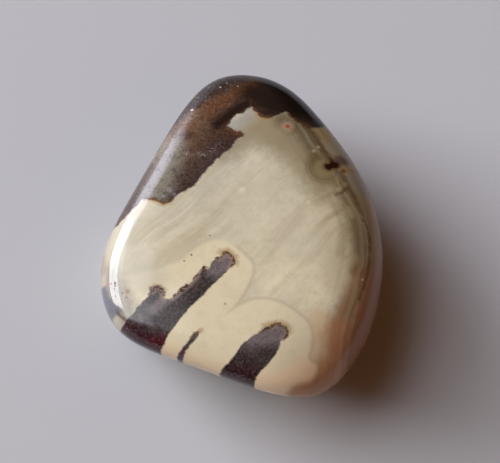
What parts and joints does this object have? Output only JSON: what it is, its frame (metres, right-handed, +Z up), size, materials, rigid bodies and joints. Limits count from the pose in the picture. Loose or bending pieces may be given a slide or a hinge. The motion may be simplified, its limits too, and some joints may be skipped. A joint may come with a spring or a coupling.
{
  "type": "tumbled jasper",
  "caption": "Tumbled, polished pebble of patterned jasper: a rounded flat chip, cream with dark finger-like markings and a dark cap, lying on a worn flat.",
  "frame": {"origin": "on the worn flat under the belly, below the middle of the stone's bounding box", "axes": "+Z up through the thickness, +Y along the length towards the narrow end, +X across the width towards the bulging flank"},
  "size_m": [0.032, 0.04, 0.015],
  "materials": {
    "polished_jasper": "tumble polished, glossy, cream with dark brown to near-black markings"
  },
  "bodies": {
    "root": {"jasper": "polished_jasper"}
  },
  "joints": []
}
